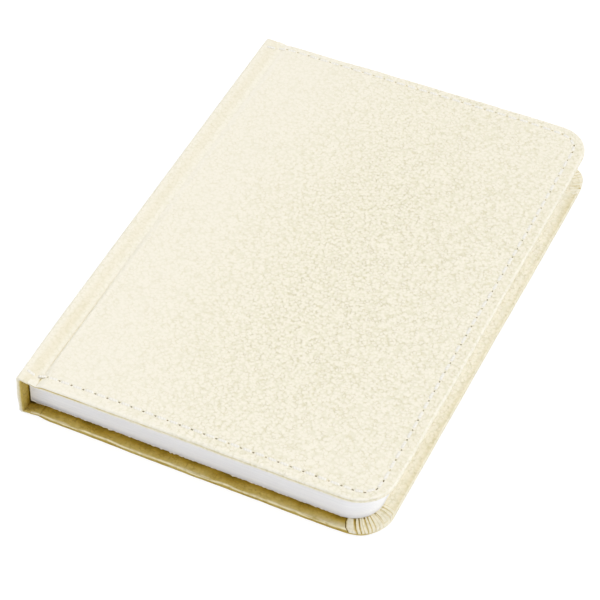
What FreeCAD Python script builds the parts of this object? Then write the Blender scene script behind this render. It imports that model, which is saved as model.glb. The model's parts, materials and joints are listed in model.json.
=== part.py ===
"""A small square-spined hardback prayer book, lying closed on its back cover.

Millimetres. X runs from the spine to the fore edge, Y from the tail to the head and Z up from the table.
The shapes are drawn with x = 0 on the outer face of the spine and y = 0 half way up the book, and they are
moved at the end so that the origin is the centre of the footprint.

The case is leather turned in over two boards and a spine board. The text block is twelve sewn sections
between two endpapers. The front cover opens on its joint, which bends at the spine's top corner and at the
crease, and the first sections fan out after it. The block also lifts off the back cover about the spine's
bottom corner.
"""
import FreeCAD, Part
import math
import os
from FreeCAD import Vector

# Driving dimensions
COVER_WIDTH = 105.0
COVER_HEIGHT = 152.5
SPINE_THICKNESS = 13.6
FORE_EDGE_THICKNESS = 15.3
CORNER_RADIUS = 10.0
SQUARE = 3.8
PAGE_CORNER_RADIUS = 8.5
SECTIONS = 12
MOVING_SECTIONS = 4

# Sheet thicknesses
LEATHER = 0.4
BOARD = 0.9
MULL = 0.3
PAPER = 0.15
REST_GAP = 0.05

# The case
COVER = 2 * LEATHER + BOARD
EDGE_ROUND = 0.6
TURN_IN = 13.0
CREASE_X = 6.8
CREASE_DEPTH = 0.9
BOARD_START = 8.5
SPINE_CORNER = 0.8
SPINE_CORNER_CLEARANCE = 0.05
PANEL_MARGIN = 0.25
MULL_FLANGE_END = 26.0
CREASE_GAP = 0.25

# Stitching
STITCH_INSET = 3.4
STITCH_PITCH = 3.5
STITCH_HOLE = 0.8
THREAD_WIDTH = 0.6
THREAD_LOW = 0.02
THREAD_HIGH = 0.22
GROOVE_WIDTH = 1.1
GROOVE_DEPTH = 0.25

# The text block
HOLLOW = 0.1
LINING_START = COVER + HOLLOW
FOLD_START = LINING_START + PAPER + MULL
GUTTER_X = 7.5
LEAF_GAP = 1.0
MULL_INSET = 5.0
SEWING_STATIONS = (-60.0, -30.0, 0.0, 30.0, 60.0)
SEWING_THREAD = 0.4

HALF = COVER_HEIGHT / 2
PAGE_HALF = HALF - SQUARE
PAGE_END = COVER_WIDTH - SQUARE
WEDGE = math.asin((FORE_EDGE_THICKNESS - SPINE_THICKNESS) / (COVER_WIDTH - CREASE_X))
BLOCK_BOTTOM = COVER + PAPER + REST_GAP
BLOCK_TOP = SPINE_THICKNESS - BLOCK_BOTTOM
SECTION = (BLOCK_TOP - BLOCK_BOTTOM - 2 * PAPER) / SECTIONS

# Angles from the +X direction, in the plane of X and Z, round each corner of the spine
FRONT_JOINT_SWING = 45.0
TOP_CORNER_GAP = 3.0

nodes = {}


def add(name, shape):
    """Keep one node, a solid or a group of solids."""
    nodes[name] = shape


def box(x0, x1, y0, y1, z0, z1):
    return Part.makeBox(x1 - x0, y1 - y0, z1 - z0, Vector(x0, y0, z0))


def plate(x0, x1, half, radius, z0, z1):
    """A flat plate with square corners at the spine side and round ones at the fore edge."""
    lean = radius * (1 - math.sqrt(0.5))
    tail_in = Vector(x1 - radius, -half, z0)
    tail_mid = Vector(x1 - lean, -half + lean, z0)
    tail_out = Vector(x1, -half + radius, z0)
    head_out = Vector(x1, half - radius, z0)
    head_mid = Vector(x1 - lean, half - lean, z0)
    head_in = Vector(x1 - radius, half, z0)
    edges = [
        Part.makeLine(Vector(x0, -half, z0), tail_in),
        Part.Arc(tail_in, tail_mid, tail_out).toShape(),
        Part.makeLine(tail_out, head_out),
        Part.Arc(head_out, head_mid, head_in).toShape(),
        Part.makeLine(head_in, Vector(x0, half, z0)),
        Part.makeLine(Vector(x0, half, z0), Vector(x0, -half, z0)),
    ]
    return Part.Face(Part.Wire(edges)).extrude(Vector(0, 0, z1 - z0))


def profile(points, y0, y1):
    """A prism along Y from a closed outline of (x, z) points."""
    corners = [Vector(x, y0, z) for x, z in points]
    outline = Part.makePolygon(corners + corners[:1])
    return Part.Face(outline).extrude(Vector(0, y1 - y0, 0))


def upright_cylinder(x, z, radius, y0, y1):
    """A cylinder along Y."""
    return Part.makeCylinder(radius, y1 - y0, Vector(x, y0, z), Vector(0, 1, 0))


def end_bands(width, inset=0.0):
    """The (y0, y1) stretches of a given width at the tail and at the head."""
    return [(-HALF + inset, -HALF + inset + width), (HALF - inset - width, HALF - inset)]


def joint_surface(x):
    """Height of the back cover's outer face above the table across the joint, at x."""
    if x <= CREASE_X:
        return CREASE_DEPTH * (x - SPINE_CORNER) / (CREASE_X - SPINE_CORNER)
    return max(0.0, CREASE_DEPTH * (BOARD_START - x) / (BOARD_START - CREASE_X))


def joint_sheet(x0, x1, low, high, y0, y1):
    """A sheet that follows the joint, from low to high above its outer face."""
    stops = [x0] + [x for x in (CREASE_X, BOARD_START) if x0 < x < x1] + [x1]
    under = [(x, joint_surface(x) + low) for x in stops]
    over = [(x, joint_surface(x) + high) for x in reversed(stops)]
    return profile(under + over, y0, y1)


# Topstitching ------------------------------------------------------------------------------------------


def stitch_line():
    """Needle holes round a cover's three free sides, as (x, y, heading) with the heading in degrees from +X.

    Each straight side and each corner holds a whole number of stitches, with its holes half a pitch from its
    ends.
    """
    edge = HALF - STITCH_INSET
    radius = CORNER_RADIUS - STITCH_INSET
    corner_x = COVER_WIDTH - CORNER_RADIUS
    corner_y = HALF - CORNER_RADIUS
    side = corner_x - BOARD_START
    side_count = round(side / STITCH_PITCH)
    corner_count = round(radius * math.pi / 2 / STITCH_PITCH)
    front_count = round(2 * corner_y / STITCH_PITCH)
    tail = [(BOARD_START + side * (i + 0.5) / side_count, -edge, 0.0) for i in range(side_count)]
    for i in range(corner_count):
        turn = math.pi / 2 * (i + 0.5) / corner_count
        x = corner_x + radius * math.sin(turn)
        y = -corner_y - radius * math.cos(turn)
        tail.append((x, y, math.degrees(turn)))
    front = []
    for i in range(front_count):
        y = -corner_y + 2 * corner_y * (i + 0.5) / front_count
        front.append((COVER_WIDTH - STITCH_INSET, y, 90.0))
    head = [(x, -y, 180.0 - heading) for x, y, heading in reversed(tail)]
    return tail + front + head


def stitches_round_cover():
    """Short lengths of thread lying in the groove of the outer face, between their needle holes."""
    holes = stitch_line()
    stitches = []
    for (x0, y0, heading0), (x1, y1, heading1) in zip(holes, holes[1:]):
        half_length = (math.hypot(x1 - x0, y1 - y0) - STITCH_HOLE) / 2
        stitch = box(-half_length, half_length, -THREAD_WIDTH / 2, THREAD_WIDTH / 2, THREAD_LOW, THREAD_HIGH)
        stitch.rotate(Vector(0, 0, 0), Vector(0, 0, 1), (heading0 + heading1) / 2)
        stitch.translate(Vector((x0 + x1) / 2, (y0 + y1) / 2, 0))
        stitches.append(stitch)
    return stitches


def stitches_across_joint():
    """Two stitches at the tail and two at the head, on the strip between the spine corner and the crease."""
    start = 2 * SPINE_CORNER
    pitch = (CREASE_X - start) / 2
    stitches = []
    for side in (-1, 1):
        y = side * (HALF - STITCH_INSET)
        for i in range(2):
            x0 = start + i * pitch + STITCH_HOLE / 2
            x1 = x0 + pitch - STITCH_HOLE
            thread = joint_sheet(x0, x1, THREAD_LOW, THREAD_HIGH, y - THREAD_WIDTH / 2, y + THREAD_WIDTH / 2)
            stitches.append(thread)
    return stitches


def cut_joint_grooves(leather, x0, x1):
    """Cut the shallow channel that the stitches across the joint lie in."""
    for side in (-1, 1):
        y = side * (HALF - STITCH_INSET)
        channel = joint_sheet(x0, x1, -0.2, GROOVE_DEPTH, y - GROOVE_WIDTH / 2, y + GROOVE_WIDTH / 2)
        leather = leather.cut(channel)
    return leather


# Covers, drawn as the back cover with the outer face on the table ---------------------------------------


def cover_leather(joint_start):
    """Leather wrapped round the board on three sides, running on into the joint as far as joint_start."""
    body = plate(BOARD_START, COVER_WIDTH, HALF, CORNER_RADIUS, 0, COVER)
    rims = []
    for edge in body.Edges:
        flat = abs(edge.BoundBox.ZMax - edge.BoundBox.ZMin) < 1e-6
        if flat and edge.BoundBox.XMax > BOARD_START + 1:
            rims.append(edge)
    body = body.makeFillet(EDGE_ROUND, rims)
    inner = COVER - LEATHER
    board_corner = CORNER_RADIUS - LEATHER
    pocket = plate(BOARD_START - 1, COVER_WIDTH - LEATHER, HALF - LEATHER, board_corner, LEATHER, inner)
    window = box(BOARD_START - 1, COVER_WIDTH - TURN_IN, -HALF + TURN_IN, HALF - TURN_IN, inner, COVER + 1)
    body = body.cut(pocket).cut(window)
    outside = plate(BOARD_START - 1, COVER_WIDTH - STITCH_INSET + GROOVE_WIDTH / 2,
                    HALF - STITCH_INSET + GROOVE_WIDTH / 2, CORNER_RADIUS - STITCH_INSET + GROOVE_WIDTH / 2,
                    -1, GROOVE_DEPTH)
    inside = plate(BOARD_START - 1, COVER_WIDTH - STITCH_INSET - GROOVE_WIDTH / 2,
                   HALF - STITCH_INSET - GROOVE_WIDTH / 2, CORNER_RADIUS - STITCH_INSET - GROOVE_WIDTH / 2,
                   -1, GROOVE_DEPTH)
    body = body.cut(outside.cut(inside))
    joint = joint_sheet(joint_start, BOARD_START, 0, LEATHER, -HALF, HALF)
    for y0, y1 in end_bands(TURN_IN):
        joint = joint.fuse(joint_sheet(joint_start, BOARD_START, 0, 2 * LEATHER, y0, y1))
    joint = cut_joint_grooves(joint, joint_start, BOARD_START)
    return body.fuse(joint).removeSplitter()


def cover_pieces(joint_start):
    """The pieces of one cover, as a dictionary."""
    board_edge = BOARD_START + LEATHER
    inner = COVER - LEATHER
    turn_x = COVER_WIDTH - TURN_IN
    turn_y = HALF - TURN_IN
    board = plate(board_edge, COVER_WIDTH - LEATHER, HALF - LEATHER, CORNER_RADIUS - LEATHER, LEATHER, inner)
    flange = box(board_edge, MULL_FLANGE_END, -turn_y, turn_y, inner, inner + MULL)
    card = box(MULL_FLANGE_END, turn_x, -turn_y, turn_y, inner, COVER)
    paste = plate(board_edge, PAGE_END, PAGE_HALF, PAGE_CORNER_RADIUS, COVER, COVER + PAPER)
    return {
        "cover_leather": cover_leather(joint_start),
        "board": board,
        "mull_flange": flange,
        "infill_card": card,
        "pastedown": paste,
        "stitching": Part.makeCompound(stitches_round_cover()),
    }


def to_front(shape, open_wedge=True):
    """Turn a shape drawn for the back cover into its twin above the block, raised by the block's wedge."""
    twin = shape.mirror(Vector(0, 0, SPINE_THICKNESS / 2), Vector(0, 0, 1))
    if open_wedge:
        crease = Vector(CREASE_X, 0, SPINE_THICKNESS - CREASE_DEPTH)
        twin.rotate(crease, Vector(0, 1, 0), -math.degrees(WEDGE))
    return twin


def add_covers():
    back = cover_pieces(SPINE_CORNER)
    corner = upright_cylinder(SPINE_CORNER, SPINE_CORNER, SPINE_CORNER + SPINE_CORNER_CLEARANCE, -HALF, HALF)
    back["cover_leather"] = back["cover_leather"].cut(corner)
    back["stitching"] = Part.makeCompound(stitches_round_cover() + stitches_across_joint())
    for name, shape in back.items():
        add("back_" + name, shape)
    for name, shape in cover_pieces(CREASE_X + CREASE_GAP).items():
        add("front_" + name, to_front(shape))


def add_front_joint():
    """The strip of the joint that swings up between the spine's top corner and the crease."""
    end = CREASE_X - CREASE_GAP
    strip = joint_sheet(SPINE_CORNER, end, 0, LEATHER, -HALF, HALF)
    for y0, y1 in end_bands(TURN_IN):
        strip = strip.fuse(joint_sheet(SPINE_CORNER, end, 0, 2 * LEATHER, y0, y1))
    strip = cut_joint_grooves(strip, SPINE_CORNER - 1, end + 1).removeSplitter()
    lining_half = HALF - TURN_IN
    lining = joint_sheet(LINING_START, end, LEATHER, LEATHER + MULL, -lining_half, lining_half)
    add("front_joint_leather", to_front(strip, False))
    add("front_joint_lining", to_front(lining, False))
    add("front_joint_stitching", to_front(Part.makeCompound(stitches_across_joint()), False))


# Spine --------------------------------------------------------------------------------------------------


def corner_arc(z, start_angle, end_angle, y0, y1):
    """The leather rolled round one long corner of the spine, between two angles from +X."""
    def point(radius, angle):
        turn = math.radians(angle)
        return Vector(SPINE_CORNER + radius * math.cos(turn), y0, z + radius * math.sin(turn))

    middle = (start_angle + end_angle) / 2
    outer = SPINE_CORNER
    inner = SPINE_CORNER - LEATHER
    edges = [
        Part.Arc(point(outer, start_angle), point(outer, middle), point(outer, end_angle)).toShape(),
        Part.makeLine(point(outer, end_angle), point(inner, end_angle)),
        Part.Arc(point(inner, end_angle), point(inner, middle), point(inner, start_angle)).toShape(),
        Part.makeLine(point(inner, start_angle), point(outer, start_angle)),
    ]
    return Part.Face(Part.Wire(edges)).extrude(Vector(0, y1 - y0, 0))


def add_spine():
    """The square spine panel: leather outside, board, and leather turned in at the tail and head."""
    low = SPINE_CORNER
    high = SPINE_THICKNESS - SPINE_CORNER
    panel_low = low + PANEL_MARGIN
    panel_high = high - PANEL_MARGIN
    top_end = 90.0 + FRONT_JOINT_SWING + TOP_CORNER_GAP
    leather = box(0, LEATHER, -HALF, HALF, low, high)
    leather = leather.fuse(corner_arc(low, 180.0, 270.0, -HALF, HALF))
    leather = leather.fuse(corner_arc(high, top_end, 180.0, -HALF, HALF))
    for y0, y1 in end_bands(TURN_IN):
        leather = leather.fuse(box(COVER - LEATHER, COVER, y0, y1, panel_low, panel_high))
    for y0, y1 in end_bands(LEATHER):
        leather = leather.fuse(box(0, COVER, y0, y1, panel_low, panel_high))
    for y0, y1 in end_bands(GROOVE_WIDTH, STITCH_INSET - GROOVE_WIDTH / 2):
        leather = leather.cut(box(-1, GROOVE_DEPTH, y0, y1, low, high))
    add("spine_leather", leather.removeSplitter())
    board_half = HALF - LEATHER
    add("spine_board", box(LEATHER, COVER - LEATHER, -board_half, board_half, panel_low, panel_high))

    stitches = []
    count = round((high - low) / STITCH_PITCH)
    pitch = (high - low) / count
    for side in (-1, 1):
        y = side * (HALF - STITCH_INSET)
        for i in range(count):
            z0 = low + i * pitch + STITCH_HOLE / 2
            z1 = z0 + pitch - STITCH_HOLE
            stitches.append(box(THREAD_LOW, THREAD_HIGH, y - THREAD_WIDTH / 2, y + THREAD_WIDTH / 2, z0, z1))
    add("spine_stitching", Part.makeCompound(stitches))


# Text block ---------------------------------------------------------------------------------------------


def leaf_height(level, x):
    """Height at x of the leaf that lies at level in the gutter: the block swells towards the fore edge."""
    share = (level - BLOCK_BOTTOM) / (BLOCK_TOP - BLOCK_BOTTOM)
    return level + max(0.0, x - GUTTER_X) * math.tan(WEDGE * share)


def leaves(x0, low, high):
    """A stack of leaves from x0 to the fore edge, with round corners."""
    stops = [x0] + ([GUTTER_X] if x0 < GUTTER_X else []) + [COVER_WIDTH]
    under = [(x, leaf_height(low, x)) for x in stops]
    over = [(x, leaf_height(high, x)) for x in reversed(stops)]
    block = profile(under + over, -HALF, HALF)
    outline = plate(x0, PAGE_END, PAGE_HALF, PAGE_CORNER_RADIUS, 0, 2 * SPINE_THICKNESS)
    return block.common(outline)


def gutter_fold(low, high):
    """The spine end, sewn or pasted down, of a section or endpaper whose leaves turn."""
    return box(FOLD_START, GUTTER_X, -PAGE_HALF, PAGE_HALF, low, high)


def cut_kerfs(shape):
    """Cut the saw kerfs in the folds that the sewing lies in."""
    depth = FOLD_START + SEWING_THREAD
    for y in SEWING_STATIONS:
        kerf = box(FOLD_START - 1, depth, y - SEWING_THREAD, y + SEWING_THREAD, 0, SPINE_THICKNESS)
        shape = shape.cut(kerf)
    return shape


def add_text_block():
    turn_start = GUTTER_X + LEAF_GAP
    top = BLOCK_TOP - PAPER
    bottom = BLOCK_BOTTOM + PAPER
    add("front_flyleaf", leaves(turn_start, top, BLOCK_TOP))
    add("front_endpaper_fold", gutter_fold(top, BLOCK_TOP))
    add("back_flyleaf", leaves(turn_start, BLOCK_BOTTOM, bottom))
    add("back_endpaper_fold", gutter_fold(BLOCK_BOTTOM, bottom))
    folds = []
    for i in range(SECTIONS):
        high = top - i * SECTION
        low = high - SECTION
        name = "section_%02d" % (i + 1)
        if i < MOVING_SECTIONS:
            add(name, leaves(turn_start, low, high))
            folds.append(cut_kerfs(gutter_fold(low, high)))
        else:
            add(name, cut_kerfs(leaves(FOLD_START, low, high)))
    add("gutter_folds", Part.makeCompound(folds))

    strands = []
    for y in SEWING_STATIONS:
        half = SEWING_THREAD / 2
        strands.append(box(FOLD_START, FOLD_START + SEWING_THREAD, y - half, y + half, bottom, top))
    add("sewing_thread", Part.makeCompound(strands))
    mull_half = PAGE_HALF - MULL_INSET
    lining_end = LINING_START + PAPER
    add("spine_mull", box(lining_end, FOLD_START, -mull_half, mull_half, BLOCK_BOTTOM, BLOCK_TOP))
    add("spine_lining", box(LINING_START, lining_end, -PAGE_HALF, PAGE_HALF, BLOCK_BOTTOM, BLOCK_TOP))


add_covers()
add_front_joint()
add_spine()
add_text_block()

os.makedirs("parts", exist_ok=True)
for name, shape in nodes.items():
    shape.translate(Vector(-COVER_WIDTH / 2, 0, 0))
    if not shape.isValid():
        raise ValueError(name + " isn't valid")
    shape.exportStep("parts/" + name + ".step")
    bounds = shape.BoundBox
    print("%-24s solids %3d  volume %10.2f  z %.2f to %.2f" % (
        name, len(shape.Solids), shape.Volume, bounds.ZMin, bounds.ZMax))
print("crease at x %.3f z %.3f, wedge %.3f degrees" % (
    CREASE_X - COVER_WIDTH / 2, SPINE_THICKNESS - CREASE_DEPTH, math.degrees(WEDGE)))
for i in range(MOVING_SECTIONS):
    print("section_%02d turns about z %.3f" % (i + 1, BLOCK_TOP - PAPER - i * SECTION))
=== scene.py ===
import json
import math
import random

import bmesh
import bpy
from mathutils import Matrix, Vector, noise


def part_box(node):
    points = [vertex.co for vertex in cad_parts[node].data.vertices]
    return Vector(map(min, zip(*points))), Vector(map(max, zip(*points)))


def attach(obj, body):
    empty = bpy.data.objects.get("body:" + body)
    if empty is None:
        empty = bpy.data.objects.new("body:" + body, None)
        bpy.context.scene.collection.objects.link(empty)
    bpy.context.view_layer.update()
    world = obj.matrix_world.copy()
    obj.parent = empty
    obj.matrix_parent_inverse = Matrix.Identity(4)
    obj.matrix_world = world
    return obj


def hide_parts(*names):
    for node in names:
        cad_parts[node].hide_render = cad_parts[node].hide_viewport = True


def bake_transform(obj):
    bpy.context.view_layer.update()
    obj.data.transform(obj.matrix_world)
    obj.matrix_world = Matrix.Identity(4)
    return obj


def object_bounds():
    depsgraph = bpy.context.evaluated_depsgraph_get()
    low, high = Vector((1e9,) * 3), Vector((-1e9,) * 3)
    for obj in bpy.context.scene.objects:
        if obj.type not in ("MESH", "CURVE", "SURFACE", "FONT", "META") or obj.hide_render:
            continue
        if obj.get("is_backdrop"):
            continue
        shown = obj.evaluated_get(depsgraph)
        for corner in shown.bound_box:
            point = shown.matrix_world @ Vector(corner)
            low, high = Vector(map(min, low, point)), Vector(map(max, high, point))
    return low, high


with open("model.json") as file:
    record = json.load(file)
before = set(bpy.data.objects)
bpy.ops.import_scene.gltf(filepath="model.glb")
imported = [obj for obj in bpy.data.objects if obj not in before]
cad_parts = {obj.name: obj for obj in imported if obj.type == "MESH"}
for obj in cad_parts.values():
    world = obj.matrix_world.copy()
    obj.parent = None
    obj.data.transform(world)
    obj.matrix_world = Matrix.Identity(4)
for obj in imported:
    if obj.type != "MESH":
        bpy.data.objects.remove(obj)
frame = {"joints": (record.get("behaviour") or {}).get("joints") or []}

cad_low, cad_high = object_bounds()

# ---- Table, light and camera
# A plain white table in an even pale room, under soft studio light: a large lamp beyond the head on the fore
# side, a wider and weaker one beyond it on the spine side, and two low fills, at the tail's fore corner and
# beside the spine. The camera looks down on the tail and the fore edge.

MM = 0.001
TABLE_GAP = 0.3 * MM


def linear(hex_colour):
    """An sRGB hex colour as the linear RGBA that Blender works in."""
    channels = [int(hex_colour[i:i + 2], 16) / 255 for i in (0, 2, 4)]
    return [c / 12.92 if c <= 0.04045 else ((c + 0.055) / 1.055) ** 2.4 for c in channels] + [1.0]


def new_material(name):
    """An empty node material."""
    material = bpy.data.materials.new(name)
    material.use_nodes = True
    material.node_tree.nodes.clear()
    return material


def add_node(owner, kind, inputs, **settings):
    """A node of a material or a world, with its settings made. Each input, by name or number, is set, to a
    value or a hex colour, or linked, to a socket or to the first output in use of another node."""
    made = owner.node_tree.nodes.new("ShaderNode" + kind)
    for key, value in settings.items():
        setattr(made, key, value)
    for key, value in inputs.items():
        if isinstance(value, bpy.types.Node):
            value = next(output for output in value.outputs if output.enabled)
        if isinstance(value, bpy.types.NodeSocket):
            owner.node_tree.links.new(value, made.inputs[key])
        else:
            made.inputs[key].default_value = linear(value) if isinstance(value, str) else value
    return made


bpy.ops.mesh.primitive_plane_add(size=6, location=(0, 0, cad_low.z - TABLE_GAP))
table = bpy.context.object
table.name = "table"
# Matt white board: plain white where it is looked at or mirrored, with the book's soft shadow on it.
white_top = new_material("white_table")
lit = add_node(white_top, "BsdfDiffuse", {"Color": "F4F4F4"})
pale = add_node(white_top, "BsdfDiffuse", {"Color": "8A8A8A"})
glow = add_node(white_top, "Emission", {"Color": (1, 1, 1, 1), "Strength": 0.85})
seen = add_node(white_top, "AddShader", {0: pale, 1: glow})
ray = add_node(white_top, "LightPath", {})
looked_at = ray.outputs["Is Camera Ray"]
for way in ("Is Glossy Ray", "Is Transmission Ray"):
    looked_at = add_node(white_top, "Math", {0: looked_at, 1: ray.outputs[way]}, operation="MAXIMUM")
either = add_node(white_top, "MixShader", {0: looked_at, 1: lit, 2: seen})
add_node(white_top, "OutputMaterial", {"Surface": either})
table.data.materials.append(white_top)
table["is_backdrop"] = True

room = bpy.data.worlds.new("white_room")
bpy.context.scene.world = room
room.use_nodes = True
room.node_tree.nodes.clear()
room_light = add_node(room, "Background", {"Color": "F6F8FF", "Strength": 0.46})
room_white = add_node(room, "Background", {"Color": (1, 1, 1, 1)})
room_ray = add_node(room, "LightPath", {})
room_mix = add_node(room, "MixShader", {0: room_ray.outputs["Is Camera Ray"], 1: room_light, 2: room_white})
add_node(room, "OutputWorld", {"Surface": room_mix})


def soft_lamp(name, place, size, watts, colour):
    """A square area lamp at a place in metres, aimed at the book."""
    bpy.ops.object.light_add(type="AREA", location=place)
    lamp = bpy.context.object
    lamp.name = name
    lamp.data.size = size
    lamp.data.energy = watts
    lamp.data.color = linear(colour)[:3]
    lamp.rotation_euler = (-Vector(place)).to_track_quat("-Z", "Y").to_euler()


soft_lamp("window_right", (1.55, 1.00, 2.00), 1.0, 25.6, "FFFCF6")
soft_lamp("ceiling", (-0.75, 1.25, 2.40), 1.3, 13.2, "FFFFFF")
soft_lamp("front_fill", (0.92, -0.88, 0.45), 0.6, 5.2, "F4F6FF")
soft_lamp("left_fill", (-0.75, -0.30, 0.55), 0.5, 2.3, "FFFDF8")

CAMERA_DISTANCE = 0.67124
CAMERA_AZIMUTH = math.radians(24.57)
CAMERA_ELEVATION = math.radians(46.44)
CAMERA_ROLL = math.radians(0.95)
aim = Vector((0.00042, -0.01265, 0.007))
back = Vector((math.sin(CAMERA_AZIMUTH) * math.cos(CAMERA_ELEVATION),
               -math.cos(CAMERA_AZIMUTH) * math.cos(CAMERA_ELEVATION),
               math.sin(CAMERA_ELEVATION)))
bpy.ops.object.camera_add(location=aim + back * CAMERA_DISTANCE)
camera = bpy.context.object
camera.data.lens = 146.8
camera.data.sensor_width = 36
turned = (-back).to_track_quat("-Z", "Y").to_matrix() @ Matrix.Rotation(CAMERA_ROLL, 3, "Z")
camera.rotation_euler = turned.to_euler()
camera.data.clip_start = 0.01
bpy.context.scene.camera = camera
bpy.context.scene.view_settings.view_transform = "Standard"

# ---- Cover leather
# One sheet of pebble-grained cream leather per cover, 0.4 mm thick, pasted over the board and turned in
# along the tail, the fore edge and the head. It runs on into the joint, where it dips to the crease.
# Everything is shaped in millimetres and made metres at the end. "run" is the distance from the spine.

SPINE_X = cad_low.x / MM
FORE_X = cad_high.x / MM
HALF = cad_high.y / MM
LEATHER = 0.4
PAPER = 0.15
COVER_TOP = (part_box("front_flyleaf")[0].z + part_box("back_flyleaf")[0].z + PAPER * MM) / MM
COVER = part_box("back_board")[1].z / MM + LEATHER
CORNER = 10.0
TURN_IN = 13.0
EDGE_ROUND = 0.6
SPINE_ROUND = 0.8
CREASE_DEPTH = 0.9
BEND = 0.6  # half the width over which the leather bends in the joint
hinges = {joint["name"]: Vector(joint["pos_m"]) for joint in frame["joints"]}
crease = hinges["front_cover_hinge"] / MM
WEDGE = math.asin((cad_high.z / MM - COVER_TOP) / (FORE_X - crease.x))
SEAM_X = SPINE_X + 3.8
STITCH_INSET = 3.25
HOLE, TAIL_HOLE = 0.5, 0.68
HOLE_RIM, HOLE_DEPTH = 0.08, 0.22
LIP = 0.25  # the leather drawn down beside the stitching
FRONT, BACK = 7, 41  # the seeds of each cover's unevenness
JOINT_CUTS = [SPINE_X + x for x in (4.6, 5.3, 5.9, 6.2, 6.35, 6.45, 6.55, 6.7, 6.85, 7.1, 7.4, 7.8, 8.2, 8.7)]


def deselect():
    """Leaves nothing selected and no mesh open."""
    if bpy.context.object and bpy.context.object.mode == "EDIT":
        bpy.ops.object.mode_set(mode="OBJECT")
    bpy.ops.object.select_all(action="DESELECT")


def activate(piece):
    """Makes a piece the only one selected."""
    deselect()
    bpy.context.view_layer.objects.active = piece
    piece.select_set(True)


def block(name, low, high):
    """A box between two corners in millimetres, left open in edit mode."""
    deselect()
    low, high = Vector(low), Vector(high)
    bpy.ops.mesh.primitive_cube_add(size=1, location=(low + high) / 2)
    piece = bpy.context.object
    piece.name = name
    piece.scale = high - low
    bpy.ops.object.transform_apply()
    bpy.ops.object.mode_set(mode="EDIT")
    return piece


def pick(kind, test):
    """In edit mode, selects the faces, by middle and normal, or edges, by their ends, that pass the test."""
    bpy.ops.mesh.select_mode(type={"faces": "FACE", "edges": "EDGE"}[kind])
    bpy.ops.mesh.select_all(action="DESELECT")
    mesh = bmesh.from_edit_mesh(bpy.context.edit_object.data)
    for part in getattr(mesh, kind):
        if kind == "faces":
            part.select = test(part.calc_center_median(), part.normal)
        else:
            part.select = test(part.verts[0].co, part.verts[1].co)
    mesh.select_flush_mode()
    bmesh.update_edit_mesh(bpy.context.edit_object.data)


def take_out(test):
    """In edit mode, deletes the faces that pass the test."""
    pick("faces", test)
    bpy.ops.mesh.delete(type="FACE")


def round_off(offset, segments, test):
    """In edit mode, rounds the edges that pass the test."""
    pick("edges", test)
    bpy.ops.mesh.bevel(offset=offset, segments=segments, affect="EDGES")


def cut(axis, places):
    """In edit mode, cuts the whole mesh by planes square to an axis."""
    for place in places:
        point, normal = [0, 0, 0], [0, 0, 0]
        point[axis], normal[axis] = place, 1
        bpy.ops.mesh.select_all(action="SELECT")
        bpy.ops.mesh.bisect(plane_co=point, plane_no=normal, threshold=1e-5)


def reshape(piece, move):
    """Moves every vertex of a piece to where move(place) says."""
    deselect()
    for vertex in piece.data.vertices:
        vertex.co = move(vertex.co.copy())


def modify(piece, kind, **settings):
    """Adds a modifier and applies it."""
    activate(piece)
    modifier = piece.modifiers.new(kind.lower(), kind)
    for key, value in settings.items():
        setattr(modifier, key, value)
    bpy.ops.object.modifier_apply(modifier=modifier.name)


def twin(piece, name):
    """A copy with its own mesh."""
    copy = piece.copy()
    copy.data = piece.data.copy()
    copy.name = name
    bpy.context.collection.objects.link(copy)
    return copy


def join(pieces, name):
    """Several pieces made one."""
    activate(pieces[0])
    for piece in pieces[1:]:
        piece.select_set(True)
    bpy.ops.object.join()
    pieces[0].name = name
    return pieces[0]


def face_out(piece):
    """Turns every face of a mirrored piece outwards again."""
    activate(piece)
    bpy.ops.object.mode_set(mode="EDIT")
    bpy.ops.mesh.select_all(action="SELECT")
    bpy.ops.mesh.normals_make_consistent(inside=False)
    bpy.ops.object.mode_set(mode="OBJECT")


def store(piece, name, kind, worth):
    """Keeps a number or a place on every vertex, as worth(place) says, for the material to read."""
    kept = piece.data.attributes.new(name, kind, "POINT")
    for vertex, item in zip(piece.data.vertices, kept.data):
        setattr(item, "value" if kind == "FLOAT" else "vector", worth(vertex.co))


def finish(piece, *materials, angle=40):
    """Keeps each vertex's rest place for the grain, makes the piece metres and smooths it up to an angle."""
    activate(piece)
    if "rest_place" not in piece.data.attributes:
        store(piece, "rest_place", "FLOAT_VECTOR", lambda place: place * MM)
    piece.data.transform(Matrix.Scale(MM, 4))
    bpy.ops.object.shade_smooth_by_angle(angle=math.radians(angle))
    for material in materials:
        if material.name not in piece.data.materials:
            piece.data.materials.append(material)


def smooth(low, high, value):
    """0 below low, 1 above high, and an even rise between."""
    share = min(1.0, max(0.0, (value - low) / (high - low)))
    return share * share * (3 - 2 * share)


def joint_dip(x, y=-HALF):
    """How far the outer face lies below the cover's face, across the joint. At the tail it is deep and rises
    steeply to the board. It is shallower and gentler towards the head, and where the turn-in fills it."""
    fold = crease.x - BEND
    deep = CREASE_DEPTH * (1 - 0.6 * smooth(-55, 0, y))
    if x <= fold:
        return deep * max(0.0, x - SPINE_X - SPINE_ROUND) / (fold - SPINE_X - SPINE_ROUND)
    reach = 1.0 + 1.2 * smooth(-50, 10, y) + 1.6 * smooth(5.6, 3.2, HALF - abs(y))
    rise = min(1.0, (x - fold) / reach)
    return deep * (1 - rise) ** 2 * (1 + 0.6 * rise)


def round_corner(place):
    """Distance in from the cover's outline, and how far round the corner towards the fore edge, 0 to 1."""
    dx, dy = FORE_X - place.x, HALF - abs(place.y)
    if dx < CORNER and dy < CORNER:
        turn = math.atan2(CORNER - dx, CORNER - dy) / (math.pi / 2)
        return CORNER - math.hypot(CORNER - dx, CORNER - dy), turn
    return min(dx, dy), (1.0 if dx < dy else 0.0)


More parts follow.
